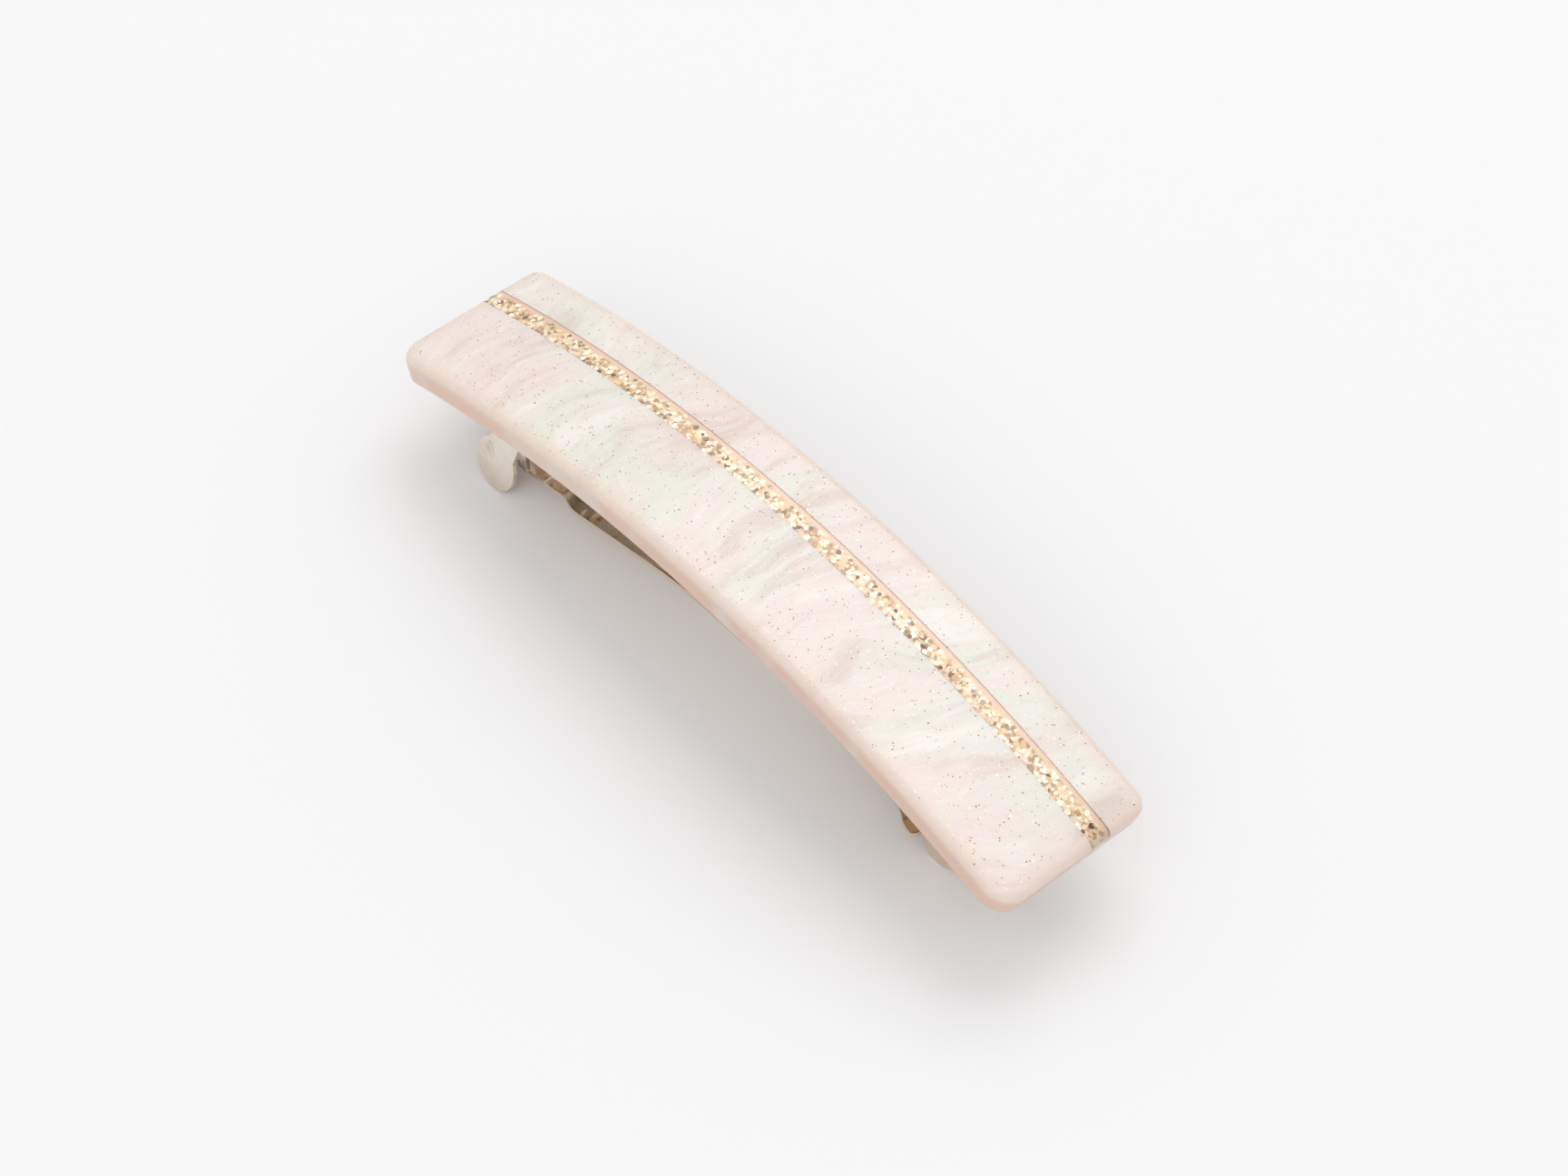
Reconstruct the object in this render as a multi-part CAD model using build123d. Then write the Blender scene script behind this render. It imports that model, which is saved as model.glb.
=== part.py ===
"""Hair barrette: a bowed, edge-laminated acetate plate on an automatic (French) steel clip.

Frame: millimetres, +Z up, origin on the surface that the barrette stands on, under its middle.
X runs along the plate, with the catch at -X and the hinge at +X. Y runs across it.
The clip hangs under the plate and stands on four feet: the two catch ears and the two hinge lugs.
"""

from math import acos, asin, cos, degrees, hypot, radians, sin, sqrt
import os

from build123d import *

# Decorative plate: three acetate strips laminated edge to edge, then bent and polished
plate_length = 98.5  # along the curve of the top face
plate_width = 20.0
plate_thickness = 3.5
plate_radius = 152.4  # of the top face
plate_near_corner_radius = 3.0  # at -Y
plate_far_corner_radius = 1.9  # at +Y
plate_top_round = 1.05
plate_bottom_round = 0.6
strip_width = 2.55
strip_centre_y = 3.2

# Clip as a whole
clip_height = 17.15  # from the feet to the top of the base bar, at the middle
hair_gap = 8.75  # between the base bar and the closed arm, at the middle
foot_flat_depth = 0.06  # worn flat on the tip of each foot
glue_thickness = 0.15  # between the base bar and the plate, at the middle
glue_length = 34.0
glue_width = 6.4
glue_corner_radius = 2.5

# Base bar
bar_radius = 120.0  # of its top face
bar_width = 8.0
bar_thickness = 0.6
bar_catch_end_x = -37.2
bar_hole_radius = 1.0
bar_hole_x = 22.0
bow_slot_x = 29.6
bow_slot_length = 0.9

# Hinge
pin_x = 33.3
pin_radius = 0.6
pin_head_radius = 1.05
pin_head_height = 0.4
pin_clearance = 0.06
lug_radius = 2.3
lug_thickness = 0.5
lug_gap = 7.7  # between the two lugs' inner faces
knuckle_side_clearance = 0.15
knuckle_wall = 0.6

# Clasp arm
arm_thickness = 0.6
arm_knuckle_drop = 0.2  # from the pin's axis down to the middle of the sheet where it meets the knuckle
arm_middle_width = 9.2
arm_shoulder_width = 10.7
arm_shoulder_x = -22.8
arm_hinge_shoulder_width = 11.1
arm_hinge_waist_width = 9.0
arm_hinge_waist_x = 26.6
arm_hinge_shoulder_x = 30.3
tongue_side_clearance = 0.55  # from the tongue's tip to each leg
tongue_spread = 1.3  # how much wider the tongue is at its root
tongue_root_x = -27.4
tongue_height = 2.05  # underside of the flat tongue above the feet
tongue_bend_radius = 12.0
tongue_tip_clearance = 0.2
tongue_notch_width = 4.2
tongue_notch_depth = 1.5
tongue_corner_radius = 1.15
notch_corner_radius = 0.8

# Tension bow
bow_thickness = 0.4
bow_width = 7.2
bow_end_width = 2.8
bow_arm_clearance = 0.25
bow_bar_clearance = 0.3
bow_slot_clearance = 0.2
bow_tab_rise = 0.7  # above the base bar's top

# Catch
catch_thickness = 0.5
catch_outer_x = -38.9
catch_inner_x = -31.6
catch_gap = 8.7  # between the two legs' inner faces
leg_inner_x = -32.3
leg_slit_x = -33.7  # between the ear's neck and the leg's straight inner tab
leg_tab_z = 3.2  # lower edge of the inner tab
fold_depth = 0.7  # of the folded flange that carries each leg
catch_corner_length = 0.9  # of the leg that turns the corner with the end wall
wall_corner_radius = 1.1
wall_top_z = 7.4
wall_gap = 4.3  # between the two half end walls
ledge_length = 1.1
ledge_width = 0.6
ledge_clearance = 0.2
ear_bend_z = 5.4
ear_flare = 24.8  # from upright
ear_long_radius = 3.27
ear_short_radius = 2.52
ear_turn = -26.0  # of its long axis from the X axis
ear_centre_x = -36.0
ear_neck_fillet = 0.5
ear_dimple_radius = 1.3
ear_dimple_depth = 0.12
ear_dimple_slope = 3.5  # the dimple runs out downwards like a drop
ear_dimple_turn = -42.0
ear_dimple_offset = (-1.7, 1.3)  # of its deep end from the ear's centre
rivet_x = -34.2
rivet_radius = 0.8
rivet_head_radius = 1.45
rivet_head_height = 0.35
rivet_clearance = 0.02
rivet_head_lift = 0.015  # so that the flat head clears the bowed sheet

# A rounded edge takes up to this share of the wall that it rounds
largest_round = 0.8

# Heights and centres that follow from the sizes above
plate_underside_z = clip_height + glue_thickness
plate_centre_z = plate_underside_z + plate_thickness - plate_radius
plate_inner_radius = plate_radius - plate_thickness
bar_centre_z = clip_height - bar_radius
bar_inner_radius = bar_radius - bar_thickness
arm_top_z = clip_height - bar_thickness - hair_gap
pin_z = lug_radius - foot_flat_depth
lug_outer_y = lug_gap / 2 + lug_thickness
knuckle_radius = pin_radius + pin_clearance + knuckle_wall
knuckle_width = lug_gap - 2 * knuckle_side_clearance
arm_middle_z = arm_top_z - arm_thickness / 2
arm_end_x = pin_x - knuckle_radius + knuckle_wall
arm_rise = arm_middle_z - pin_z + arm_knuckle_drop
arm_middle_radius = (arm_end_x**2 + arm_rise**2) / (2 * arm_rise)
arm_centre_z = arm_middle_z - arm_middle_radius
leg_middle_y = (catch_gap + catch_thickness) / 2
leg_outer_y = catch_gap / 2 + catch_thickness
wall_middle_x = catch_outer_x + catch_thickness / 2
tongue_tip_x = catch_outer_x + catch_thickness + tongue_tip_clearance
tongue_width = catch_gap - 2 * tongue_side_clearance
tongue_root_width = tongue_width + tongue_spread
catch_low_x = catch_outer_x + catch_corner_length
above_all_z = 2 * (plate_underside_z + plate_thickness)


def height_on(radius, centre_z, x):
    """Height at x of an arch of that radius."""
    return centre_z + sqrt(radius**2 - x**2)


def arch_point(radius, centre_z, angle):
    """Point of the X-Z plane on an arch, at an angle from upright towards +X."""
    return (radius * sin(radians(angle)), centre_z + radius * cos(radians(angle)))


def across(profile, width):
    """Solid of a face drawn in X-Z, as wide as that in Y and centred on the plate's middle line."""
    return extrude(Plane.XZ * profile, amount=width / 2, both=True)


def arch(radius, thickness, centre_z, width):
    """Whole hoop of bent sheet, for a part's outline to be cut from."""
    return across(Pos(0, centre_z) * (Circle(radius) - Circle(radius - thickness)), width)


def upright(outline, low=0.0, high=above_all_z):
    """Solid of a face drawn in X-Y, standing from one height to another."""
    return extrude(Pos(0, 0, low) * outline, amount=high - low)


def box_between(x, y, z):
    """Box from three (low, high) pairs."""
    middle = Pos((x[0] + x[1]) / 2, (y[0] + y[1]) / 2, (z[0] + z[1]) / 2)
    return middle * Box(x[1] - x[0], y[1] - y[0], z[1] - z[0])


def bar_frame(x):
    """Frame on the base bar's underside at x, with its Z square to the bar."""
    tilt = degrees(asin(x / bar_inner_radius))
    return Pos(x, 0, height_on(bar_inner_radius, bar_centre_z, x)) * Rot(0, tilt, 0)


def mirrored(part):
    """The same part on the other side of the X-Z plane."""
    return mirror(part, about=Plane.XZ)


def make_plate():
    """The whole laminated plate before it is told apart into its three strips."""
    half_angle = degrees(plate_length / plate_radius / 2)
    ends = [arch_point(r, plate_centre_z, a) for r, a in (
        (plate_inner_radius, -half_angle),
        (plate_radius, -half_angle),
        (plate_radius, half_angle),
        (plate_inner_radius, half_angle),
    )]
    profile = make_face([
        Line(ends[0], ends[1]),
        ThreePointArc(ends[1], (0, plate_centre_z + plate_radius), ends[2]),
        Line(ends[2], ends[3]),
        ThreePointArc(ends[3], (0, plate_underside_z), ends[0]),
    ])
    plate = across(profile, plate_width)
    short = plate.edges().filter_by(lambda e: e.length < 2 * plate_thickness)
    corners = short.filter_by(lambda e: abs(e.tangent_at(0.5).Y) < 0.01)
    plate = fillet(corners.group_by(Axis.Y)[0], plate_near_corner_radius)
    corners = plate.edges().filter_by(GeomType.LINE).filter_by(lambda e: abs(e.tangent_at(0.5).Y) < 0.01)
    plate = fillet(corners.group_by(Axis.Y)[-1], plate_far_corner_radius)
    arched = sorted(plate.faces().filter_by(GeomType.CYLINDER), key=lambda f: f.area)[-2:]
    underside, top = sorted(arched, key=lambda f: f.area)
    plate = fillet(top.edges(), plate_top_round)
    underside = sorted(plate.faces().filter_by(GeomType.CYLINDER), key=lambda f: f.area)[-2:]
    underside = min(underside, key=lambda f: f.center(CenterOf.BOUNDING_BOX).Z)
    return fillet(underside.edges(), plate_bottom_round)


def make_plate_strips():
    """The three laminated strips by name."""
    plate = make_plate()
    reach = plate_length
    low = strip_centre_y - strip_width / 2
    high = strip_centre_y + strip_width / 2
    bands = {
        "pearl_panel_wide": (-plate_width, low),
        "glitter_strip": (low, high),
        "pearl_panel_narrow": (high, plate_width),
    }
    return {
        name: plate & box_between((-reach, reach), band, (-reach, reach))
        for name, band in bands.items()
    }


def make_adhesive():
    """Glue that fills the wedge between the plate's underside and the flatter middle of the base bar."""
    corner_radius = min(glue_corner_radius, largest_round * glue_width / 2)
    outline = RectangleRounded(glue_length, glue_width, corner_radius)
    above_bar = across(Pos(0, bar_centre_z) * Circle(bar_radius), plate_width)
    under_plate = across(Pos(0, plate_centre_z) * Circle(plate_inner_radius), plate_width)
    return (upright(outline) & under_plate) - above_bar


def bow_slots():
    """The two slots of the base bar that hold the ends of the tension bow."""
    width = bow_end_width + 2 * bow_slot_clearance
    return [Pos(side * bow_slot_x, 0) * Rectangle(bow_slot_length, width) for side in (-1, 1)]


def make_base_bar():
    """Bent steel strip with its two hinge lugs folded down at the hinge end."""
    lug_low_x = pin_x - lug_radius
    length = lug_low_x - bar_catch_end_x
    outline = Pos(bar_catch_end_x + length / 2, 0) * Rectangle(length, bar_width)
    outline = fillet(outline.vertices().group_by(Axis.X)[0], bar_width / 4)
    hinge_end = Rectangle(2 * lug_radius, 2 * lug_outer_y)
    outline += Pos(pin_x, 0) * hinge_end
    for side in (-1, 1):
        outline -= Pos(side * bar_hole_x, 0) * Circle(bar_hole_radius)
    for slot in bow_slots():
        outline -= slot
    bar = arch(bar_radius, bar_thickness, bar_centre_z, plate_width) & upright(outline)
    lug = Pos(pin_x, pin_z) * Circle(lug_radius)
    lug += Pos(pin_x, pin_z + clip_height / 2) * Rectangle(2 * lug_radius, clip_height)
    lugs = across(lug, 2 * lug_outer_y) - across(lug, lug_gap)
    under_bar = across(Pos(0, bar_centre_z) * Circle(bar_radius), plate_width)
    bar += lugs & under_bar & upright(Rectangle(2 * plate_length, plate_width))
    outer_bends = bar.edges().filter_by(lambda e: e.center().X > lug_low_x + lug_thickness)
    outer_bends = outer_bends.filter_by(GeomType.CIRCLE).filter_by(
        lambda e: abs(abs(e.center().Y) - lug_outer_y) < 0.01 and abs(e.radius - bar_radius) < 0.01
    )
    bar = fillet(outer_bends, largest_round * min(lug_thickness, lug_outer_y - bar_width / 2))
    bar -= Pos(pin_x, 0, pin_z) * Rot(90, 0, 0) * Cylinder(pin_radius + rivet_clearance, plate_width)
    return bar - bar_frame(rivet_x) * Cylinder(rivet_radius + rivet_clearance, 4 * bar_thickness)


def domed_head(radius, height):
    """Domed rivet head, with its flat on the X-Y plane."""
    head = Pos(0, 0, height / 2) * Cylinder(radius, height)
    return fillet(head.edges().group_by(Axis.Z)[-1], largest_round * height)


def make_hinge_pin():
    """Headed pin through both lugs and the arm's knuckle."""
    pin = Rot(90, 0, 0) * Cylinder(pin_radius, 2 * lug_outer_y)
    head = Pos(0, -lug_outer_y, 0) * Rot(90, 0, 0) * domed_head(pin_head_radius, pin_head_height)
    return Pos(pin_x, 0, pin_z) * (pin + head + mirrored(head))


def arm_outline():
    """Plan view of the arm: forked tongue, two shoulders, slimmer middle and hinge neck."""
    widths = [
        (tongue_tip_x, tongue_width),
        (tongue_root_x, tongue_root_width),
        (arm_shoulder_x, arm_shoulder_width),
        (0.0, arm_middle_width),
        (arm_hinge_waist_x, arm_hinge_waist_width),
        (arm_hinge_shoulder_x, arm_hinge_shoulder_width),
    ]
    edge = [(x, width / 2) for x, width in widths]
    neck_x = pin_x - lug_radius - knuckle_side_clearance
    neck_y = knuckle_width / 2
    rim = [Line(edge[0], edge[1])]
    for start, end in zip(edge[1:-1], edge[2:]):
        middle_x = (start[0] + end[0]) / 2
        rim.append(Bezier(start, (middle_x, start[1]), (middle_x, end[1]), end))
    rim.append(Bezier(edge[-1], (neck_x, edge[-1][1]), (neck_x, neck_y)))
    rim.append(Line((neck_x, neck_y), (pin_x, neck_y)))
    mirrored_rim = [mirror(line, about=Plane.XZ) for line in rim]
    ends = [
        Line((tongue_tip_x, -tongue_width / 2), (tongue_tip_x, tongue_width / 2)),
        Line((pin_x, -neck_y), (pin_x, neck_y)),
    ]
    outline = make_face(rim + mirrored_rim + ends)
    corners = outline.vertices().group_by(Axis.X)[0]
    outline = fillet(corners, tongue_corner_radius)
    notch = Pos(tongue_tip_x, 0) * Rectangle(2 * tongue_notch_depth, tongue_notch_width)
    return outline - fillet(notch.vertices().group_by(Axis.X)[-1], notch_corner_radius)


def make_clasp_arm():
    """Arched arm with a flat tongue at the catch and a rolled knuckle round the hinge pin."""
    tongue_middle_z = tongue_height + arm_thickness / 2
    bend_angle = degrees(acos(
        (tongue_middle_z + tongue_bend_radius - arm_centre_z) / (arm_middle_radius + tongue_bend_radius)
    ))
    bend_start = arch_point(arm_middle_radius, arm_centre_z, -bend_angle)
    bend_centre = arch_point(arm_middle_radius + tongue_bend_radius, arm_centre_z, -bend_angle)
    bend_middle = (
        bend_centre[0] + tongue_bend_radius * sin(radians(bend_angle / 2)),
        bend_centre[1] - tongue_bend_radius * cos(radians(bend_angle / 2)),
    )
    bend_end = (bend_centre[0], tongue_middle_z)
    arch_end_angle = degrees(asin(arm_end_x / arm_middle_radius))
    middle_line = [
        Line((catch_outer_x, tongue_middle_z), bend_end),
        ThreePointArc(bend_end, bend_middle, bend_start),
        ThreePointArc(
            bend_start,
            (0, arm_centre_z + arm_middle_radius),
            arch_point(arm_middle_radius, arm_centre_z, arch_end_angle),
        ),
    ]
    arm = across(trace(middle_line, arm_thickness), plate_width) & upright(arm_outline(), low=-5)
    axis = Pos(pin_x, 0, pin_z) * Rot(90, 0, 0)
    arm += axis * Cylinder(knuckle_radius, knuckle_width)
    return arm - axis * Cylinder(pin_radius + pin_clearance, plate_width)


def make_tension_bow():
    """Leaf spring held in the base bar's slots, bowed towards the arm."""
    bottom_z = arm_top_z + bow_arm_clearance
    end_z = height_on(bar_inner_radius, bar_centre_z, bow_slot_x) - bow_bar_clearance - bow_thickness
    rise = end_z - bottom_z
    bow_radius = (bow_slot_x**2 + rise**2) / (2 * rise)
    centre_z = bottom_z + bow_radius
    length = 2 * bow_slot_x + bow_thickness
    shoulder_x = bow_slot_x - bow_width
    outline = make_face(Polyline(
        (-length / 2, -bow_end_width / 2),
        (-shoulder_x, -bow_width / 2),
        (shoulder_x, -bow_width / 2),
        (length / 2, -bow_end_width / 2),
        (length / 2, bow_end_width / 2),
        (shoulder_x, bow_width / 2),
        (-shoulder_x, bow_width / 2),
        (-length / 2, bow_end_width / 2),
        close=True,
    ))
    shoulders = outline.vertices().filter_by(lambda v: abs(abs(v.X) - shoulder_x) < 0.01)
    outline = fillet(shoulders, bow_width / 2)
    hoop = arch(bow_radius, bow_thickness, centre_z, plate_width)
    bow = hoop & upright(outline, high=clip_height)
    tab_top = height_on(bar_radius, bar_centre_z, bow_slot_x) + bow_tab_rise
    tab_bottom = end_z + bow_thickness / 2
    for side in (-1, 1):
        tab_x = sorted((side * (length / 2 - bow_thickness), side * length / 2))
        bow += box_between(tab_x, (-bow_end_width / 2, bow_end_width / 2), (tab_bottom, tab_top))
    return bow


def fold_line():
    """Frame of the straight line where the legs leave the folded flanges: Z is square to the bar."""
    middle_x = (catch_outer_x + leg_inner_x) / 2
    return bar_frame(middle_x) * Pos(0, 0, -catch_thickness - fold_depth)


def make_catch_base():
    """Riveted plate under the base bar's end, with a folded flange on each side."""
    outline = Pos((catch_low_x + catch_inner_x) / 2, 0) * Rectangle(
        catch_inner_x - catch_low_x, 2 * leg_outer_y
    )
    inner_corners = outline.vertices().group_by(Axis.X)[-1]
    outline = fillet(inner_corners, catch_gap / 4)
    sheet = arch(bar_inner_radius, catch_thickness, bar_centre_z, plate_width)
    base = sheet & upright(outline)
    flange_x = (catch_low_x, leg_slit_x)
    under_bar = across(Pos(0, bar_centre_z) * Circle(bar_inner_radius), plate_width)
    above_fold = fold_line() * Pos(0, 0, clip_height / 2) * Box(plate_width, plate_width, clip_height)
    flange = box_between(flange_x, (catch_gap / 2, leg_outer_y), (0, clip_height)) & under_bar & above_fold
    base += flange + mirrored(flange)
    return base - bar_frame(rivet_x) * Cylinder(rivet_radius + rivet_clearance, 8 * catch_thickness)


def make_catch_rivet():
    """Rivet through the base bar and the catch."""
    grip = bar_thickness + catch_thickness
    shank = Pos(0, 0, bar_thickness - grip / 2) * Cylinder(rivet_radius, grip + 2 * rivet_head_lift)
    head = domed_head(rivet_head_radius, rivet_head_height)
    top_head = Pos(0, 0, bar_thickness) * head
    bottom_head = Pos(0, 0, -catch_thickness - rivet_head_lift) * Rot(180, 0, 0) * head
    return bar_frame(rivet_x) * (shank + top_head + bottom_head)


def make_ear_lobe():
    """Rounded finger tab flared out from the bottom of a leg, with a shallow drop-shaped dimple."""
    reach = (ear_bend_z + foot_flat_depth) / cos(radians(ear_flare))
    half_height = hypot(
        ear_long_radius * sin(radians(ear_turn)), ear_short_radius * cos(radians(ear_turn))
    )
    neck_x = (catch_low_x + leg_slit_x) / 2
    neck_width = leg_slit_x - catch_low_x
    centre_y = half_height - reach
    lobe = Pos(ear_centre_x, centre_y) * Ellipse(ear_long_radius, ear_short_radius, rotation=ear_turn)
    lobe += Pos(neck_x, centre_y / 2) * Rectangle(neck_width, -centre_y)
    corners = lobe.vertices().filter_by(lambda v: -0.01 > v.Y > centre_y + 0.01)
    lobe = fillet(corners, ear_neck_fillet)
    plane = Plane(
        origin=(0, leg_middle_y, ear_bend_z),
        x_dir=(1, 0, 0),
        z_dir=(0, -cos(radians(ear_flare)), -sin(radians(ear_flare))),
    )
    ear = extrude(plane * lobe, amount=catch_thickness / 2, both=True)
    dimple_x = ear_centre_x + ear_dimple_offset[0]
    dimple_y = centre_y + ear_dimple_offset[1]
    dimple_z = -catch_thickness / 2 - ear_dimple_radius + ear_dimple_depth
    drop = Pos(0, 0, ear_long_radius) * Cylinder(ear_dimple_radius, 2 * ear_long_radius)
    drop = Rot(0, 0, ear_dimple_turn) * Rot(0, 90 + ear_dimple_slope, 0) * drop + Sphere(ear_dimple_radius)
    ear -= plane * Pos(dimple_x, dimple_y, dimple_z) * drop
    bend = Pos(neck_x, leg_middle_y, ear_bend_z) * Rot(0, 90, 0) * Cylinder(catch_thickness / 2, neck_width)
    return ear + bend


def make_catch_ear():
    """Sprung leg of the +Y side: half end wall with its ledge, upright leg and flared ear."""
    turn = wall_corner_radius
    plan = FilletPolyline(
        (leg_inner_x, leg_middle_y),
        (wall_middle_x, leg_middle_y),
        (wall_middle_x, wall_gap / 2),
        radius=turn,
    )
    ledge_top = tongue_height - ledge_clearance
    ledge_bottom = ledge_top - catch_thickness
    leg = upright(trace(plan, catch_thickness), low=ledge_bottom)
    wide = box_between((-plate_length, 0), (0, plate_width), (ear_bend_z, clip_height))
    low_wall = box_between((-plate_length, catch_low_x), (0, plate_width), (0, ear_bend_z))
    inner_tab = box_between((leg_slit_x, leg_inner_x), (0, plate_width), (leg_tab_z, ear_bend_z))
    leg &= wide + low_wall + inner_tab
    leg -= box_between((-plate_length, 0), (0, leg_middle_y - turn), (wall_top_z, clip_height))
    leg -= fold_line() * Pos(0, 0, clip_height / 2) * Box(plate_width, plate_width, clip_height)
    ledge = box_between(
        (wall_middle_x, catch_outer_x + catch_thickness + ledge_length),
        (wall_gap / 2, wall_gap / 2 + ledge_width),
        (ledge_bottom, ledge_top),
    )
    above_floor = box_between((-plate_length, plate_length), (0, plate_width), (0, clip_height))
    return (leg + ledge + make_ear_lobe()) & above_floor


def make_parts():
    """Every sub-part by its node name."""
    parts = make_plate_strips()
    parts["adhesive_layer"] = make_adhesive()
    parts["base_bar"] = make_base_bar()
    parts["hinge_pin"] = make_hinge_pin()
    parts["clasp_arm"] = make_clasp_arm()
    parts["tension_bow"] = make_tension_bow()
    parts["catch_base"] = make_catch_base()
    parts["catch_rivet"] = make_catch_rivet()
    parts["catch_ear_left"] = make_catch_ear()
    parts["catch_ear_right"] = mirrored(parts["catch_ear_left"])
    return parts


os.makedirs("parts", exist_ok=True)
for name, part in make_parts().items():
    export_step(part, f"parts/{name}.step")
    print(f"{name}: {part.volume:.2f} mm3")
fold = fold_line()
print("fold line at", fold.position, "turned", fold.orientation)
print("hinge pin at", pin_x, pin_z)
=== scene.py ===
import bmesh
import bpy
import math
from mathutils import Matrix, Vector


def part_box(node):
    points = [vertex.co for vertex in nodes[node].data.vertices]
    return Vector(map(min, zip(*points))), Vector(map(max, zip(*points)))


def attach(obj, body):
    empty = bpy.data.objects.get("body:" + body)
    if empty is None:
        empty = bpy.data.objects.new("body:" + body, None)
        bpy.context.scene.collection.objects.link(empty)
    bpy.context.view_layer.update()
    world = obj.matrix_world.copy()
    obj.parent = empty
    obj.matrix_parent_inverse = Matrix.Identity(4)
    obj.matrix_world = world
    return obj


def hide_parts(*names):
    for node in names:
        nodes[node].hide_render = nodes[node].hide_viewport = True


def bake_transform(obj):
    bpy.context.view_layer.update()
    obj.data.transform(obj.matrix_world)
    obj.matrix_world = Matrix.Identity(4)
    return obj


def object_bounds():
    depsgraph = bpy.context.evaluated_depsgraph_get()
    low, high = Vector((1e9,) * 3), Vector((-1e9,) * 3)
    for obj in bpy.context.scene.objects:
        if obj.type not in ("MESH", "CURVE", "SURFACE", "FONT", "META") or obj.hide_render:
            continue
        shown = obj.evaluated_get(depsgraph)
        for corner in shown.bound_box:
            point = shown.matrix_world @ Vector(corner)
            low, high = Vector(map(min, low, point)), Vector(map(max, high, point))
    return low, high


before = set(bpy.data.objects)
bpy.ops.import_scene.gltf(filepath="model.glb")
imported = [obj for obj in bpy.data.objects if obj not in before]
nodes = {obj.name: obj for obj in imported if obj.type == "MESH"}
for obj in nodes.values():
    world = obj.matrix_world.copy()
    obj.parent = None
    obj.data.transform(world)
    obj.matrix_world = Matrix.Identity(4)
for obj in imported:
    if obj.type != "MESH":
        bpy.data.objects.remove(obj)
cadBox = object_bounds()
mm = 0.001
print("frame loaded,", len(nodes), "CAD nodes")


def tint(red, green, blue):        # sRGB 0-255 to the linear colour that a shader takes
    def linear(value):
        share = value / 255
        return share / 12.92 if share <= 0.04045 else ((share + 0.055) / 1.055) ** 2.4
    return (linear(red), linear(green), linear(blue), 1.0)


def addNode(tree, kind, inputs=None, **settings):
    node = tree.nodes.new(kind)
    for name, value in settings.items():
        setattr(node, name, value)
    for name, value in (inputs or {}).items():
        socket = node.inputs[name]
        if isinstance(value, bpy.types.NodeSocket):
            tree.links.new(value, socket)
        else:
            socket.default_value = value
    return node


def newMaterial(name, shaderInputs):
    material = bpy.data.materials.new(name)
    material.use_nodes = True
    tree = material.node_tree
    tree.nodes.clear()
    output = tree.nodes.new("ShaderNodeOutputMaterial")
    shader = addNode(tree, "ShaderNodeBsdfPrincipled", shaderInputs)
    tree.links.new(shader.outputs["BSDF"], output.inputs["Surface"])
    return material, tree, shader


def colourRamp(tree, factor, stops):
    ramp = addNode(tree, "ShaderNodeValToRGB", {"Fac": factor})
    elements = ramp.color_ramp.elements
    while len(elements) < len(stops):
        elements.new(0.5)
    for element, (place, colour) in zip(elements, stops):
        element.position = place
        element.color = colour
    return ramp.outputs["Color"]


def mixColour(tree, factor, first, second, blend="MIX"):
    mix = addNode(tree, "ShaderNodeMix", data_type="RGBA", blend_type=blend)
    for socket, value in ((mix.inputs[0], factor), (mix.inputs[6], first), (mix.inputs[7], second)):
        if isinstance(value, bpy.types.NodeSocket):
            tree.links.new(value, socket)
        else:
            socket.default_value = value
    return mix.outputs[2]


def mapValue(tree, value, fromLow, fromHigh, toLow=0.0, toHigh=1.0, smooth=False):
    kind = "SMOOTHSTEP" if smooth else "LINEAR"
    node = addNode(tree, "ShaderNodeMapRange", {
        "Value": value, "From Min": fromLow, "From Max": fromHigh, "To Min": toLow, "To Max": toHigh,
    }, interpolation_type=kind)
    return node.outputs["Result"]


def calculate(tree, operation, first, second=0.0):
    node = addNode(tree, "ShaderNodeMath", operation=operation)
    for socket, value in ((node.inputs[0], first), (node.inputs[1], second)):
        if isinstance(value, bpy.types.NodeSocket):
            tree.links.new(value, socket)
        else:
            socket.default_value = value
    return node.outputs[0]


def vectorMaths(tree, operation, first, second):
    return addNode(tree, "ShaderNodeVectorMath", {0: first, 1: second}, operation=operation).outputs[0]


def objectPlace(tree):
    return addNode(tree, "ShaderNodeTexCoord").outputs["Object"]


def partOf(tree, vector, axis):
    return addNode(tree, "ShaderNodeSeparateXYZ", {"Vector": vector}).outputs[axis]


def stretched(tree, vector, turn=(0, 0, 0), scale=(1, 1, 1)):
    return addNode(tree, "ShaderNodeMapping", {
        "Vector": vector, "Rotation": [math.radians(a) for a in turn], "Scale": scale,
    }).outputs["Vector"]


def millimetres(tree):        # object coordinates in millimetres
    return stretched(tree, objectPlace(tree), scale=(1 / mm, 1 / mm, 1 / mm))


def noise(tree, vector, scale, detail=2.0, roughness=0.5, output="Fac"):
    return addNode(tree, "ShaderNodeTexNoise", {
        "Vector": vector, "Scale": scale, "Detail": detail, "Roughness": roughness,
    }).outputs[output]


def bump(tree, height, distance, strength=1.0):
    return addNode(tree, "ShaderNodeBump", {
        "Height": height, "Distance": distance, "Strength": strength,
    }).outputs["Normal"]


def paint(piece, *materials):
    piece.data.materials.clear()
    for material in materials:
        piece.data.materials.append(material)


def newPiece(name, mesh):
    piece = bpy.data.objects.new(name, mesh)
    bpy.context.scene.collection.objects.link(piece)
    return piece


cadCopies = {"mergeDistance": 0.0002 * mm, "sharpAngle": 30}        # degrees


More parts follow.
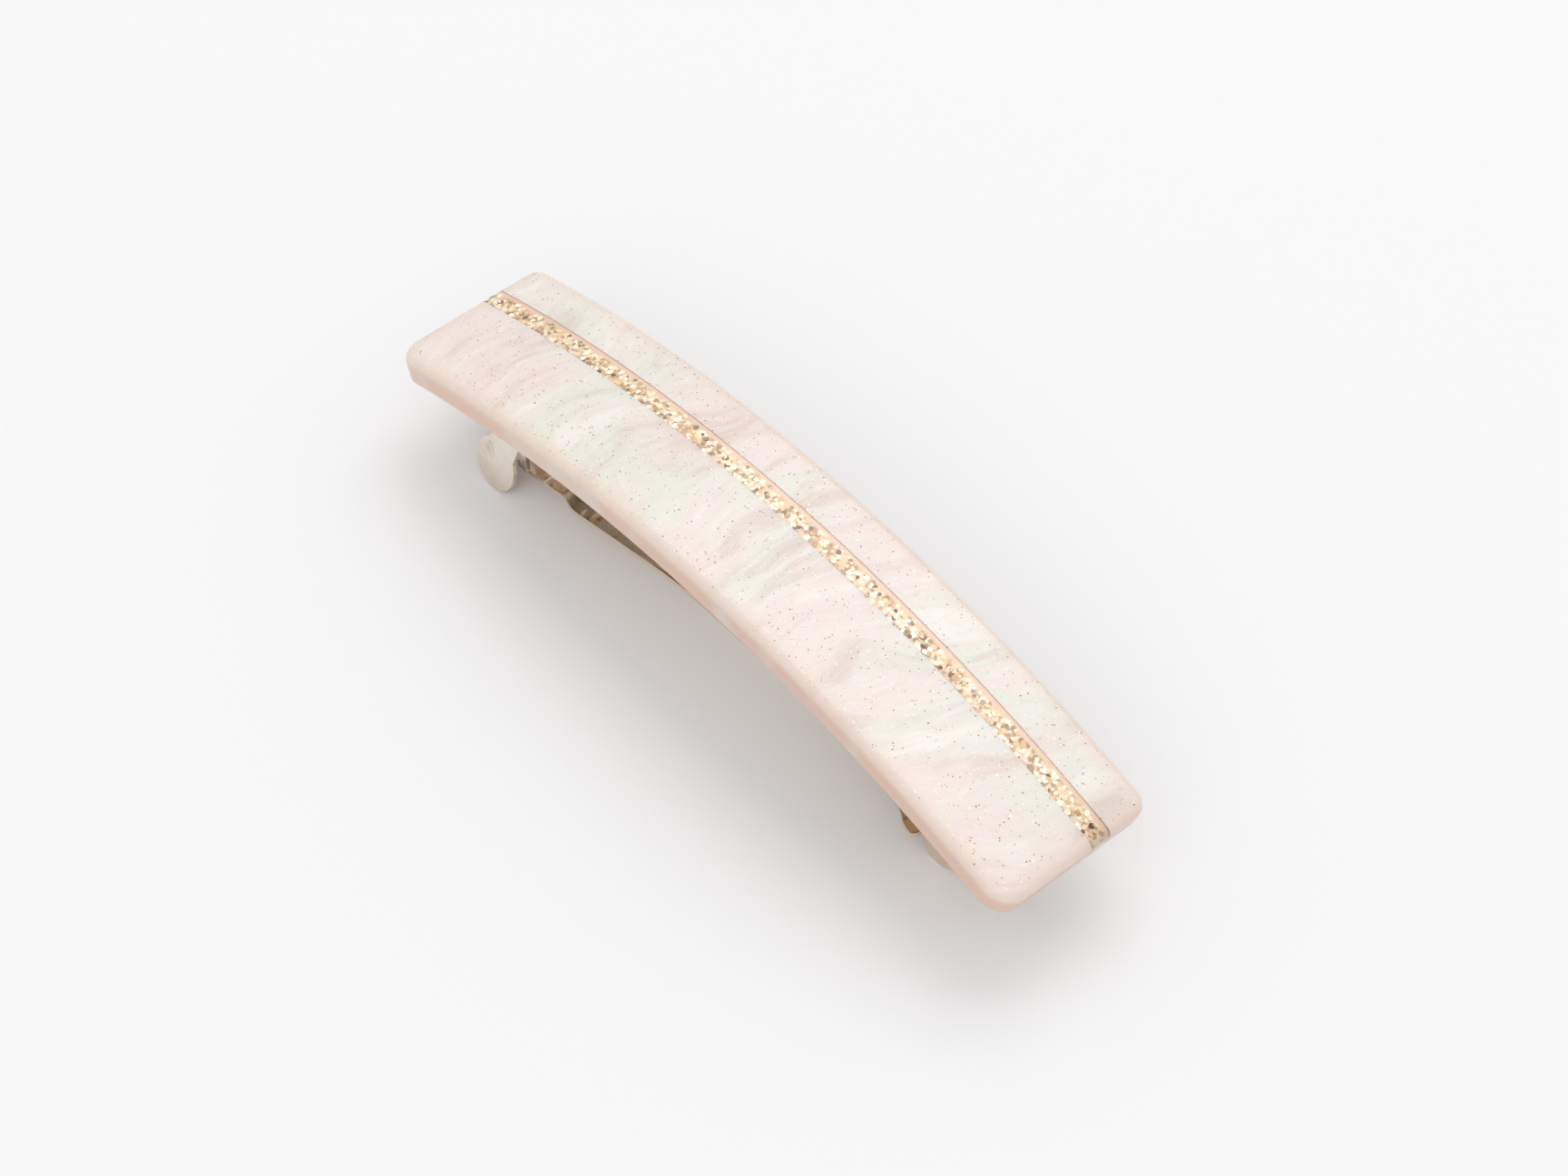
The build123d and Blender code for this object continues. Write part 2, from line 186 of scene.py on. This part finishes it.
# a CAD node's shape as a clean mesh of its own
def mergedCopy(nodeName, pieceName):
    work = bmesh.new()
    work.from_mesh(nodes[nodeName].data)
    bmesh.ops.remove_doubles(work, verts=work.verts, dist=cadCopies["mergeDistance"])
    mesh = bpy.data.meshes.new(pieceName)
    work.to_mesh(mesh)
    work.free()
    mesh.materials.clear()
    mesh.shade_smooth()
    mesh.set_sharp_from_angle(angle=math.radians(cadCopies["sharpAngle"]))
    return newPiece(pieceName, mesh)


studio = {
    "floorHalfSize": 3.0,
    "floorColour": tint(241, 241, 242), "floorRoughness": 0.95, "floorSpecular": 0.1,
    "skyStrength": 0.79, "skyTopHeight": 0.75,        # sine of the angle above the horizon
    "skyTop": (0.985, 0.995, 1.0, 1.0),
    "skyHorizon": (0.84, 0.77, 0.71, 1.0),
    "keyPower": 5.6, "keySize": 1.0, "keyFrom": (-0.30, 0.55, 1.30), "keyColour": (1.0, 1.0, 1.0),
    "fillPower": 4.0, "fillSize": 1.3, "fillFrom": (0.5, -0.9, 1.1), "fillColour": (1.0, 1.0, 1.0),
}


def makeFloor():
    half = studio["floorHalfSize"]
    mesh = bpy.data.meshes.new("floor")
    corners = [(-half, -half, 0), (half, -half, 0), (half, half, 0), (-half, half, 0)]
    mesh.from_pydata(corners, [], [(0, 1, 2, 3)])
    floor = newPiece("floor", mesh)
    material, tree, shader = newMaterial("paper floor", {
        "Base Color": studio["floorColour"], "Roughness": studio["floorRoughness"],
        "Specular IOR Level": studio["floorSpecular"],
    })
    paint(floor, material)


def makeSky():
    world = bpy.data.worlds.new("studio tent")
    bpy.context.scene.world = world
    world.use_nodes = True
    tree = world.node_tree
    background = tree.nodes["Background"]
    direction = addNode(tree, "ShaderNodeTexCoord").outputs["Generated"]
    height = partOf(tree, direction, "Z")
    colour = colourRamp(tree, mapValue(tree, height, 0.0, studio["skyTopHeight"]), [
        (0.0, studio["skyHorizon"]), (1.0, studio["skyTop"]),
    ])
    tree.links.new(colour, background.inputs["Color"])
    background.inputs["Strength"].default_value = studio["skyStrength"]


def makeLamps():
    for name in ("key", "fill"):
        light = bpy.data.lights.new(name, "AREA")
        light.energy = studio[name + "Power"]
        light.size = studio[name + "Size"]
        light.color = studio[name + "Colour"]
        lamp = newPiece(name + "_softbox", light)
        lamp.location = studio[name + "From"]
        lamp.rotation_mode = "QUATERNION"
        lamp.rotation_quaternion = Vector(studio[name + "From"]).to_track_quat("Z", "Y")


viewpoint = {
    "turn": 47.533, "elevation": 50.57, "roll": 1.662,        # degrees
    "distance": 418.7 * mm, "lens": 92.66, "sensor": 36.0, "nearestSeen": 10 * mm,
    "aimBesideMiddle": (2.72 * mm, 1.49 * mm, 0.54 * mm),
}


def makeCamera():
    data = bpy.data.cameras.new("camera")
    data.sensor_width = viewpoint["sensor"]
    data.lens = viewpoint["lens"]
    data.clip_start = viewpoint["nearestSeen"]
    camera = newPiece("camera", data)
    turn, elevation, roll = (math.radians(viewpoint[key]) for key in ("turn", "elevation", "roll"))
    back = Vector((
        math.sin(turn) * math.cos(elevation), -math.cos(turn) * math.cos(elevation), math.sin(elevation),
    ))
    level = Vector((math.cos(turn), math.sin(turn), 0))
    upright = back.cross(level)
    right = math.cos(roll) * level + math.sin(roll) * upright
    up = math.cos(roll) * upright - math.sin(roll) * level
    aim = (cadBox[0] + cadBox[1]) / 2 + Vector(viewpoint["aimBesideMiddle"])
    axes = Matrix((right, up, back)).transposed().to_4x4()
    camera.matrix_world = Matrix.Translation(aim + back * viewpoint["distance"]) @ axes
    bpy.context.scene.camera = camera


makeFloor()
makeSky()
makeLamps()
makeCamera()
bpy.context.scene.view_settings.view_transform = "Standard"
print("studio ready")


pearl = {
    "streakLean": 0.12, "leanPerMm": 0.0065,        # of the streaks towards +X; they fan out along the plate
    "warpScale": 0.055, "warpReach": 14.0,          # per mm, mm
    "patterns": {        # stretch along X, Y and Z, scale per mm, detail, roughness
        "patches": ((1, 0.42, 0.5), 0.105, 3.0, 0.5),
        "streaks": ((1, 0.28, 0.3), 0.26, 3.0, 0.5),
        "silk": ((1, 0.14, 0.2), 1.3, 4.0, 0.6),
    },
    "pink": tint(238, 223, 219), "mint": tint(230, 229, 220), "cream": tint(235, 227, 218),
    "milk": tint(242, 237, 231), "umber": tint(214, 195, 184),
    "pinkToMint": (0.38, 0.62),
    "veils": (        # pattern, where the veil begins and is full, its strength and colour
        ("streaks", 0.48, 0.62, 0.60, "cream"),
        ("streaks", 0.56, 0.72, 0.85, "milk"),
        ("streaks", 0.48, 0.30, 0.60, "umber"),
        ("silk", 0.52, 0.70, 0.40, "milk"),
        ("silk", 0.48, 0.28, 0.20, "umber"),
    ),
    "ridge": tint(229, 210, 196), "edge": tint(222, 190, 172), "paleEdge": tint(220, 207, 197),
    "edgeToPale": (0.45, 0.62),
    "rimWidth": 2.4 * mm, "rimStrength": 0.7,
    "topRadius": 152.4 * mm,             # of the arched top face
    "edgeDepth": (0.1 * mm, 1.6 * mm),   # below the top, where the warm edge colour begins and is full
    "sideFacing": (0.95, 0.45),          # the upright part of the normal, on the top and on a side
    "ridgeFull": 0.45, "warmFrom": 0.25,        # how far round the side these take over
    "roughness": (0.42, 0.30), "roughnessFrom": (0.3, 0.7),
    "swirlBump": 0.08 * mm, "swirlBumpStrength": 0.3,
    "surface": {
        "Specular IOR Level": 0.30, "Coat Weight": 0.40, "Coat Roughness": 0.10, "Coat IOR": 1.48,
        "Subsurface Weight": 0.22, "Subsurface Radius": (1.0, 0.66, 0.5), "Subsurface Scale": 2.0 * mm,
    },
}


# how far a point of the plate lies below the arched top face
def depthBelowTop(tree):
    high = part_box("pearl_panel_wide")[1]
    radius = pearl["topRadius"]
    fromCentre = vectorMaths(tree, "SUBTRACT", objectPlace(tree), (0, 0, high.z - radius))
    flat = vectorMaths(tree, "MULTIPLY", fromCentre, (1, 0, 1))
    length = addNode(tree, "ShaderNodeVectorMath", {0: flat}, operation="LENGTH").outputs["Value"]
    return calculate(tree, "SUBTRACT", radius, length)


# millimetres, sheared so that what runs along Y leans more and more towards the hinge end
def fannedOut(tree):
    parts = addNode(tree, "ShaderNodeSeparateXYZ", {"Vector": millimetres(tree)}).outputs
    lean = calculate(tree, "MULTIPLY", parts["X"], pearl["leanPerMm"])
    lean = calculate(tree, "ADD", lean, pearl["streakLean"])
    across = calculate(tree, "SUBTRACT", parts["X"], calculate(tree, "MULTIPLY", lean, parts["Y"]))
    return addNode(tree, "ShaderNodeCombineXYZ", {"X": across, "Y": parts["Y"], "Z": parts["Z"]}).outputs[0]


# 1 along the plate's outline, falling to 0 at the rim's inner edge
def rimOfPlate(tree):
    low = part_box("pearl_panel_wide")[0]
    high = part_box("pearl_panel_narrow")[1]
    parts = addNode(tree, "ShaderNodeSeparateXYZ", {"Vector": objectPlace(tree)}).outputs
    inset = calculate(tree, "SUBTRACT", parts["Y"], low.y)
    inset = calculate(tree, "MINIMUM", inset, calculate(tree, "SUBTRACT", high.y, parts["Y"]))
    fromEnd = calculate(tree, "SUBTRACT", high.x, calculate(tree, "ABSOLUTE", parts["X"]))
    inset = calculate(tree, "MINIMUM", inset, fromEnd)
    return mapValue(tree, inset, pearl["rimWidth"], 0.0, smooth=True)


def makePearlMaterial():
    material, tree, shader = newMaterial("pearl acetate", pearl["surface"])
    place = fannedOut(tree)
    drift = noise(tree, place, pearl["warpScale"], output="Color")
    centred = vectorMaths(tree, "SUBTRACT", drift, (0.5, 0.5, 0.5))
    pushed = vectorMaths(tree, "MULTIPLY", centred, (pearl["warpReach"],) * 3)
    swirled = vectorMaths(tree, "ADD", place, pushed)

    patterns = {}
    for name, (stretch, scale, detail, roughness) in pearl["patterns"].items():
        patterns[name] = noise(tree, stretched(tree, swirled, scale=stretch), scale, detail, roughness)
    patches, streaks = patterns["patches"], patterns["streaks"]
    minty = mapValue(tree, patches, *pearl["pinkToMint"], smooth=True)
    body = mixColour(tree, minty, pearl["pink"], pearl["mint"])
    for pattern, begins, full, strength, colour in pearl["veils"]:
        veil = mapValue(tree, patterns[pattern], begins, full, 0.0, strength, smooth=True)
        body = mixColour(tree, veil, body, pearl[colour])

    # the sides show the sheet's warm clear base under the pearl
    facing = addNode(tree, "ShaderNodeTexCoord").outputs["Normal"]
    upright = calculate(tree, "ABSOLUTE", partOf(tree, facing, "Z"))
    sunk = mapValue(tree, depthBelowTop(tree), *pearl["edgeDepth"], smooth=True)
    side = calculate(tree, "MULTIPLY", sunk, mapValue(tree, upright, *pearl["sideFacing"], smooth=True))
    pale = mapValue(tree, patches, *pearl["edgeToPale"], smooth=True)
    warm = mixColour(tree, pale, pearl["edge"], pearl["paleEdge"])
    rim = calculate(tree, "MULTIPLY", rimOfPlate(tree), pearl["rimStrength"])
    ridge = calculate(tree, "MAXIMUM", rim, mapValue(tree, side, 0.0, pearl["ridgeFull"]))
    colour = mixColour(tree, ridge, body, pearl["ridge"])
    colour = mixColour(tree, mapValue(tree, side, pearl["warmFrom"], 1.0), colour, warm)
    tree.links.new(colour, shader.inputs["Base Color"])
    roughness = mapValue(tree, streaks, *pearl["roughnessFrom"], *pearl["roughness"])
    tree.links.new(roughness, shader.inputs["Roughness"])
    swirls = bump(tree, streaks, pearl["swirlBump"], pearl["swirlBumpStrength"])
    tree.links.new(swirls, shader.inputs["Normal"])
    return material


pearlMaterial = makePearlMaterial()
for name in ("pearl_panel_wide", "pearl_panel_narrow"):
    paint(nodes[name], pearlMaterial)
print("pearl panels painted")


flakeSides = 6


# closed flakes strewn over the faces that lie flat enough
def makeScatterTree(name):
    tree = bpy.data.node_groups.new(name, "GeometryNodeTree")
    face = tree.interface
    sockets = {"Geometry": face.new_socket("Geometry", in_out="INPUT", socket_type="NodeSocketGeometry")}
    for label, kind in (
        ("Density", "Float"), ("Seed", "Int"), ("Radius", "Float"), ("Spread", "Float"),
        ("Thickness", "Float"), ("Tilt", "Float"), ("Lift", "Float"), ("Sink", "Float"),
        ("Least Facing", "Float"), ("Material", "Material"),
    ):
        sockets[label] = face.new_socket(label, in_out="INPUT", socket_type="NodeSocket" + kind)
    face.new_socket("Geometry", in_out="OUTPUT", socket_type="NodeSocketGeometry")
    given = tree.nodes.new("NodeGroupInput").outputs
    normal = tree.nodes.new("GeometryNodeInputNormal").outputs[0]
    up = calculate(tree, "ABSOLUTE", partOf(tree, normal, "Z"))
    chosen = calculate(tree, "GREATER_THAN", up, given["Least Facing"])
    points = addNode(tree, "GeometryNodeDistributePointsOnFaces", {
        "Mesh": given["Geometry"], "Selection": chosen, "Density": given["Density"], "Seed": given["Seed"],
    })

    def random(low, high, offset, kind="FLOAT"):
        node = addNode(tree, "FunctionNodeRandomValue", data_type=kind)
        shift = calculate(tree, "ADD", given["Seed"], float(offset))
        active = [s for s in node.inputs if s.enabled]
        for socket, value in ((active[0], low), (active[1], high), (node.inputs["Seed"], shift)):
            if isinstance(value, bpy.types.NodeSocket):
                tree.links.new(value, socket)
            else:
                socket.default_value = value
        return [s for s in node.outputs if s.enabled][0]

    tip = calculate(tree, "MULTIPLY", given["Tilt"], -1.0)
    lean = addNode(tree, "ShaderNodeCombineXYZ", {
        "X": random(tip, given["Tilt"], 1), "Y": random(tip, given["Tilt"], 2), "Z": random(0.0, math.tau, 3),
    }).outputs[0]
    turned = addNode(tree, "FunctionNodeRotateRotation", {
        "Rotation": points.outputs["Rotation"],
        "Rotate By": addNode(tree, "FunctionNodeEulerToRotation", {0: lean}).outputs[0],
    }, rotation_space="LOCAL").outputs[0]
    sunk = calculate(tree, "SUBTRACT", given["Lift"], random(0.0, given["Sink"], 4))
    moved = addNode(tree, "ShaderNodeVectorMath", {0: points.outputs["Normal"]}, operation="SCALE")
    tree.links.new(sunk, moved.inputs["Scale"])
    placed = addNode(tree, "GeometryNodeSetPosition", {
        "Geometry": points.outputs["Points"], "Offset": moved.outputs[0],
    }).outputs[0]
    flake = addNode(tree, "GeometryNodeMeshCylinder", {
        "Vertices": flakeSides, "Side Segments": 1, "Fill Segments": 1,
        "Radius": given["Radius"], "Depth": given["Thickness"],
    }).outputs["Mesh"]
    least = calculate(tree, "SUBTRACT", 1.0, given["Spread"])
    most = calculate(tree, "ADD", 1.0, given["Spread"])
    size = addNode(tree, "ShaderNodeCombineXYZ", {
        "X": random(least, most, 5), "Y": random(least, most, 5), "Z": 1.0,
    }).outputs[0]
    flakes = addNode(tree, "GeometryNodeInstanceOnPoints", {
        "Points": placed, "Instance": flake, "Rotation": turned, "Scale": size,
    }).outputs[0]
    # each flake gets a random value that picks its colour: partly the flake's own tone, partly painted
    # reflection from dark to bright
    toneAndGlintStored = addNode(tree, "GeometryNodeStoreNamedAttribute", {
        "Geometry": flakes, "Name": "toneAndGlint",
    }, data_type="FLOAT", domain="INSTANCE")
    tree.links.new(random(0.0, 1.0, 6), toneAndGlintStored.inputs["Value"])
    solid = addNode(tree, "GeometryNodeRealizeInstances", {"Geometry": toneAndGlintStored.outputs[0]}).outputs[0]
    done = addNode(tree, "GeometryNodeSetMaterial", {"Geometry": solid, "Material": given["Material"]})
    addNode(tree, "NodeGroupOutput", {0: done.outputs[0]})
    return tree, {label: socket.identifier for label, socket in sockets.items()}


scatterTree, scatterInputs = makeScatterTree("strewn flakes")


# runs the scatter on a carrier and keeps the result as a plain mesh
def strewFlakes(carrier, pieceName, settings, material):
    modifier = carrier.modifiers.new("strewn flakes", "NODES")
    modifier.node_group = scatterTree
    for label, value in settings.items():
        modifier[scatterInputs[label]] = value
    modifier[scatterInputs["Material"]] = material
    bpy.context.view_layer.update()
    depsgraph = bpy.context.evaluated_depsgraph_get()
    mesh = bpy.data.meshes.new_from_object(carrier.evaluated_get(depsgraph), depsgraph=depsgraph)
    mesh.name = pieceName
    carrier.modifiers.remove(modifier)
    piece = newPiece(pieceName, mesh)
    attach(piece, "plate_and_base")
    return piece


foil = {
    "grain": tint(255, 250, 235), "grainScale": 6.0, "grainFrom": (0.35, 0.7), "grainStrength": 0.25,
    "coat": 0.5, "coatRoughness": 0.05,
}


# a foil whose colour is picked per flake from a ramp of tones; the spread from dark to bright is partly the
# flakes' own colour and partly painted reflection
def makeFlakeMaterial(name, flakes):
    material, tree, shader = newMaterial(name, {
        "Metallic": flakes["metallic"], "Roughness": flakes["roughness"],
        "Coat Weight": foil["coat"], "Coat Roughness": foil["coatRoughness"],
    })
    attribute = addNode(tree, "ShaderNodeAttribute", attribute_name="toneAndGlint", attribute_type="GEOMETRY")
    toneAndGlint = attribute.outputs["Fac"]
    grain = noise(tree, millimetres(tree), foil["grainScale"])
    grain = mapValue(tree, grain, *foil["grainFrom"], 0.0, foil["grainStrength"])
    colour = mixColour(tree, grain, colourRamp(tree, toneAndGlint, flakes["tonesAndGlints"]), foil["grain"], "MULTIPLY")
    ends = flakes.get("ends")
    if ends:
        along = calculate(tree, "ABSOLUTE", partOf(tree, objectPlace(tree), "X"))
        picked = calculate(tree, "LESS_THAN", toneAndGlint, ends["share"])
        picked = calculate(tree, "MULTIPLY", picked, calculate(tree, "GREATER_THAN", along, ends["from"]))
        colour = mixColour(tree, picked, colour, ends["colour"])
    tree.links.new(colour, shader.inputs["Base Color"])
    return material


specks = {
    "scatter": {
        "Density": 2.4e6, "Seed": 7, "Radius": 0.065 * mm, "Spread": 0.55, "Thickness": 0.012 * mm,
        "Tilt": 0.06, "Lift": 0.0, "Sink": 0.004 * mm, "Least Facing": 0.90,
    },
    # dark to white per speck: partly the specks' own colour, partly painted reflection
    "tonesAndGlints": [
        (0.0, tint(112, 88, 70)), (0.12, tint(150, 128, 108)), (0.26, tint(200, 160, 124)),
        (0.40, tint(236, 206, 160)), (0.52, tint(255, 238, 205)), (0.75, tint(255, 248, 230)),
        (1.0, tint(255, 255, 250)),
    ],
    "metallic": 0.1, "roughness": 0.35,
}
speckMaterial = makeFlakeMaterial("fine gold specks", specks)
for nodeName, pieceName in (
    ("pearl_panel_wide", "specks_wide_panel"), ("pearl_panel_narrow", "specks_narrow_panel"),
):
    carrier = mergedCopy(nodeName, "carrier")
    piece = strewFlakes(carrier, pieceName, specks["scatter"], speckMaterial)
    bpy.data.objects.remove(carrier)
    piece.visible_glossy = False        # keeps the mirror-like arm under the plate clean
    print(pieceName, len(piece.data.polygons), "faces")


strip = {
    "lap": 0.02 * mm,        # resin reaches this far into the panels, so that no air shows at the joint
    "coreDepth": 0.16 * mm, "coreMargin": 0.01 * mm, "nearMargin": 0.10 * mm, "farMargin": 0.60 * mm,
    "cornerLimit": 2.0,        # of the core depth, where the core's corners are drawn in
    "resinColour": tint(255, 250, 243), "resinHaze": tint(255, 245, 235), "hazeScale": 0.5,       # per mm
    "resin": {"Transmission Weight": 1.0, "Roughness": 0.03, "IOR": 1.38},
    "core": {"Metallic": 0.1, "Roughness": 0.45},
    "nearLine": tint(196, 138, 96), "gold": tint(222, 194, 162),
    "clear": tint(236, 212, 197), "farLine": tint(226, 194, 174),
    "ground": (        # share of the strip's width from the near side, and the colour there
        (0.03, "nearLine"), (0.08, "gold"), (0.72, "gold"),
        (0.80, "clear"), (0.94, "clear"), (0.99, "farLine"),
    ),
    "glintScale": 2.0, "glintFrom": (0.80, 0.72), "glintStrength": 0.5,
}
stripFlakes = {
    "scatter": {
        "Density": 5.5e6, "Seed": 21, "Radius": 0.29 * mm, "Spread": 0.28, "Thickness": 0.02 * mm,
        "Tilt": 0.20, "Lift": 0.08 * mm, "Sink": 0.10 * mm, "Least Facing": 0.5,
    },
    # dark to white per flake: partly the flakes' own colour, partly painted reflection; the glitter core's
    # painted glints use them too
    "tonesAndGlints": [
        (0.0, tint(112, 62, 40)), (0.06, tint(150, 128, 108)), (0.20, tint(190, 168, 144)),
        (0.30, tint(228, 196, 154)), (0.44, tint(252, 232, 200)), (0.62, tint(255, 246, 228)),
        (1.0, tint(255, 254, 246)),
    ],
    "metallic": 0.15, "roughness": 0.3,
    "ends": {"from": 45.4 * mm, "share": 0.17, "colour": tint(112, 44, 22)},        # red-brown ones
}


def makeResinMaterial():
    material, tree, shader = newMaterial("tinted clear resin", strip["resin"])
    haze = noise(tree, millimetres(tree), strip["hazeScale"])
    colour = mixColour(tree, haze, strip["resinColour"], strip["resinHaze"])
    tree.links.new(colour, shader.inputs["Base Color"])
    return material


def makeCoreMaterial():
    material, tree, shader = newMaterial("packed glitter", strip["core"])
    cells = addNode(tree, "ShaderNodeTexVoronoi", {"Vector": millimetres(tree), "Scale": strip["glintScale"]})
    pick = addNode(tree, "ShaderNodeSeparateColor", {"Color": cells.outputs["Color"]}).outputs[0]
    low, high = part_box("glitter_strip")
    across = mapValue(tree, partOf(tree, objectPlace(tree), "Y"), low.y, high.y)
    ground = colourRamp(tree, across, [(share, strip[colour]) for share, colour in strip["ground"]])
    glint = colourRamp(tree, pick, stripFlakes["tonesAndGlints"])
    amount = mapValue(tree, across, *strip["glintFrom"], 0.0, strip["glintStrength"])
    tree.links.new(mixColour(tree, amount, ground, glint), shader.inputs["Base Color"])
    return material


# the strip's solid drawn in by the core depth all round, then set between two margins
def shrunkStrip(pieceName, nearMargin, farMargin):
    piece = mergedCopy("glitter_strip", pieceName)
    low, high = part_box("glitter_strip")
    work = bmesh.new()
    work.from_mesh(piece.data)
    bmesh.ops.recalc_face_normals(work, faces=work.faces)
    work.normal_update()
    depth = strip["coreDepth"]
    limit = strip["cornerLimit"]
    moves = [vertex.normal * min(vertex.calc_shell_factor(), limit) * depth for vertex in work.verts]
    innerLow, innerHigh = low.y + depth, high.y - depth
    near, far = low.y + nearMargin, high.y - farMargin
    for vertex, move in zip(work.verts, moves):
        vertex.co -= move
        vertex.co.y = near + (far - near) * (vertex.co.y - innerLow) / (innerHigh - innerLow)
    work.to_mesh(piece.data)
    work.free()
    return piece


def makeStrip():
    resin = mergedCopy("glitter_strip", "glitter_strip_resin")
    low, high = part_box("glitter_strip")
    middle, half = (low.y + high.y) / 2, (high.y - low.y) / 2
    for vertex in resin.data.vertices:
        vertex.co.y = middle + (vertex.co.y - middle) * (half + strip["lap"]) / half
    resin.visible_shadow = False        # lamps reach the flakes through the clear resin
    core = shrunkStrip("glitter_strip_core", strip["coreMargin"], strip["coreMargin"])
    carrier = shrunkStrip("carrier", strip["nearMargin"], strip["farMargin"])
    paint(resin, makeResinMaterial())
    paint(core, makeCoreMaterial())
    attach(resin, "plate_and_base")
    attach(core, "plate_and_base")
    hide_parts("glitter_strip")
    flakeMaterial = makeFlakeMaterial("rose gold flakes", stripFlakes)
    flakes = strewFlakes(carrier, "glitter_strip_flakes", stripFlakes["scatter"], flakeMaterial)
    bpy.data.objects.remove(carrier)
    print("glitter strip", len(flakes.data.polygons), "flake faces")


makeStrip()


nickel = {
    "polished": {"colour": tint(238, 221, 203), "dull": tint(231, 213, 194), "roughness": (0.05, 0.11)},
    "satin": {"colour": tint(232, 225, 212), "dull": tint(222, 213, 199), "roughness": (0.24, 0.34)},
    "cloudScale": 0.35, "scratchScale": 1.5,       # per mm
    "scratchTurn": (0, 0, 20), "scratchStretch": (0.15, 2.0, 0.6),        # degrees
    "patternFrom": (0.35, 0.7),
    "wave": 0.010 * mm, "waveStrength": 0.5,
}


def makeNickelMaterial(finish):
    material, tree, shader = newMaterial(finish + " nickel plate", {"Metallic": 1.0})
    place = millimetres(tree)
    cloud = noise(tree, place, nickel["cloudScale"], 3.0)
    drawn = stretched(tree, place, nickel["scratchTurn"], nickel["scratchStretch"])
    scratches = noise(tree, drawn, nickel["scratchScale"], 3.0, 0.6)
    look = nickel[finish]
    colour = mixColour(tree, mapValue(tree, cloud, *nickel["patternFrom"]), look["colour"], look["dull"])
    tree.links.new(colour, shader.inputs["Base Color"])
    roughness = mapValue(tree, scratches, *nickel["patternFrom"], *look["roughness"])
    tree.links.new(roughness, shader.inputs["Roughness"])
    tree.links.new(bump(tree, cloud, nickel["wave"], nickel["waveStrength"]), shader.inputs["Normal"])
    return material


glue = {
    "dark": tint(226, 214, 190), "light": tint(243, 236, 220),
    "cloudScale": 0.8, "cloudFrom": (0.3, 0.7),       # per mm
    "surface": {"Roughness": 0.25, "Transmission Weight": 0.5, "IOR": 1.5},
}


def makeGlueMaterial():
    material, tree, shader = newMaterial("set clear glue", glue["surface"])
    cloud = noise(tree, millimetres(tree), glue["cloudScale"], 3.0)
    colour = colourRamp(tree, cloud, list(zip(glue["cloudFrom"], (glue["dark"], glue["light"]))))
    tree.links.new(colour, shader.inputs["Base Color"])
    return material


for finish, names in (
    ("polished", ("base_bar", "hinge_pin", "clasp_arm")),
    ("satin", ("catch_base", "catch_rivet", "catch_ear_left", "catch_ear_right")),
):
    nickelMaterial = makeNickelMaterial(finish)
    for name in names:
        paint(nodes[name], nickelMaterial)
paint(nodes["adhesive_layer"], makeGlueMaterial())
print("nickel and glue painted")


spring = {
    "dark": tint(176, 172, 165), "light": tint(214, 210, 203), "roughness": (0.22, 0.36),
    "grainStretch": (0.08, 5.0, 1.0), "grainScale": 3.0, "grainFrom": (0.3, 0.7),       # per mm
    "grainBump": 0.003 * mm, "bumpStrength": 0.4,
    "endHeight": 1.2 * mm,        # of the ends
}


def makeSpringMaterial():
    material, tree, shader = newMaterial("spring steel", {"Metallic": 1.0})
    drawn = stretched(tree, millimetres(tree), scale=spring["grainStretch"])
    grain = noise(tree, drawn, spring["grainScale"], 4.0, 0.7)
    colour = colourRamp(tree, grain, list(zip(spring["grainFrom"], (spring["dark"], spring["light"]))))
    tree.links.new(colour, shader.inputs["Base Color"])
    roughness = mapValue(tree, grain, *spring["grainFrom"], *spring["roughness"])
    tree.links.new(roughness, shader.inputs["Roughness"])
    tree.links.new(bump(tree, grain, spring["grainBump"], spring["bumpStrength"]), shader.inputs["Normal"])
    return material


# the leaf spring as a merged copy of the CAD bow in spring steel, in place of the CAD node
def makeBow():
    piece = mergedCopy("tension_bow", "tension_bow_spring")
    paint(piece, makeSpringMaterial())
    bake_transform(piece)
    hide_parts("tension_bow")


makeBow()
print("bow placed")
